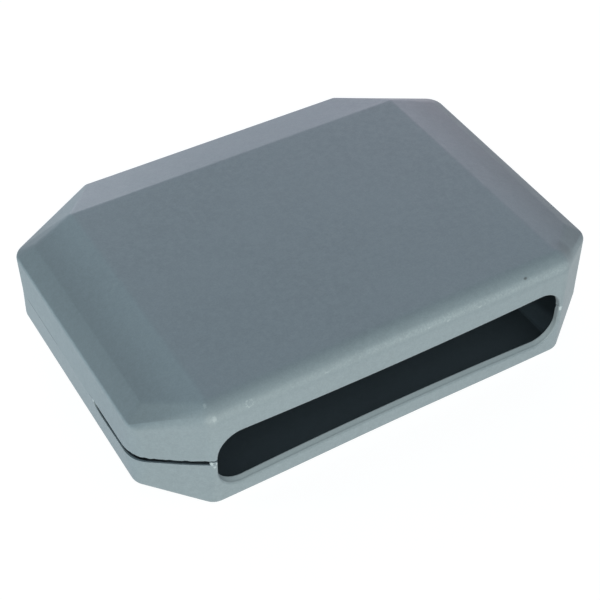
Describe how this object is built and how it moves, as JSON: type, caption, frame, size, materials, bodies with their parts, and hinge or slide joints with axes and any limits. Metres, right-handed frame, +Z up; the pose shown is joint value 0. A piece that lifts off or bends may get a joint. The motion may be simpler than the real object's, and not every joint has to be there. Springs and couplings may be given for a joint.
{
  "type": "woodblock",
  "caption": "Hollow moulded plastic percussion block with bevelled octagonal outline, a long slot in the front wall, and a rod clamp under the back edge.",
  "frame": {"origin": "centre of the flat underside that the block rests on", "axes": "+X along the slot, +Y from the slotted front to the back, +Z up to the playing face"},
  "size_m": [0.2, 0.1663, 0.0485],
  "materials": {
    "shell_plastic": "matte grey moulded plastic with a fine grain",
    "zinc_screws": "zinc-plated steel",
    "bracket_coating": "black powder-coated steel",
    "pad_rubber": "black rubber sheet",
    "clamp_plating": "satin chrome-plated steel"
  },
  "bodies": {
    "block": {"upper_shell": "shell_plastic", "lower_shell": "shell_plastic", "shell_screws": "zinc_screws", "mount_bracket": "bracket_coating", "isolation_pad": "pad_rubber", "bracket_screws": "zinc_screws", "bracket_washers": "zinc_screws", "bracket_locknuts": "zinc_screws", "clamp_washer": "clamp_plating", "lock_washer": "clamp_plating"},
    "eye_bolt": {"eye_bolt": "clamp_plating"},
    "wing_nut": {"wing_nut": "clamp_plating"}
  },
  "joints": [
    {"name": "wing_nut_turn", "type": "hinge", "parent": "block", "child": "wing_nut", "pos_m": [0.0171, 0.0845, 0.0135], "axis": [-1, 0, 0], "range_deg": [0, 990]},
    {"name": "eye_bolt_slide", "type": "slide", "parent": "block", "child": "eye_bolt", "axis": [1, 0, 0], "range_m": [0, 0.00275]}
  ],
  "couplings": [
    {"joint": "wing_nut_turn", "follows": "eye_bolt_slide", "rad_per_m": 6283}
  ]
}
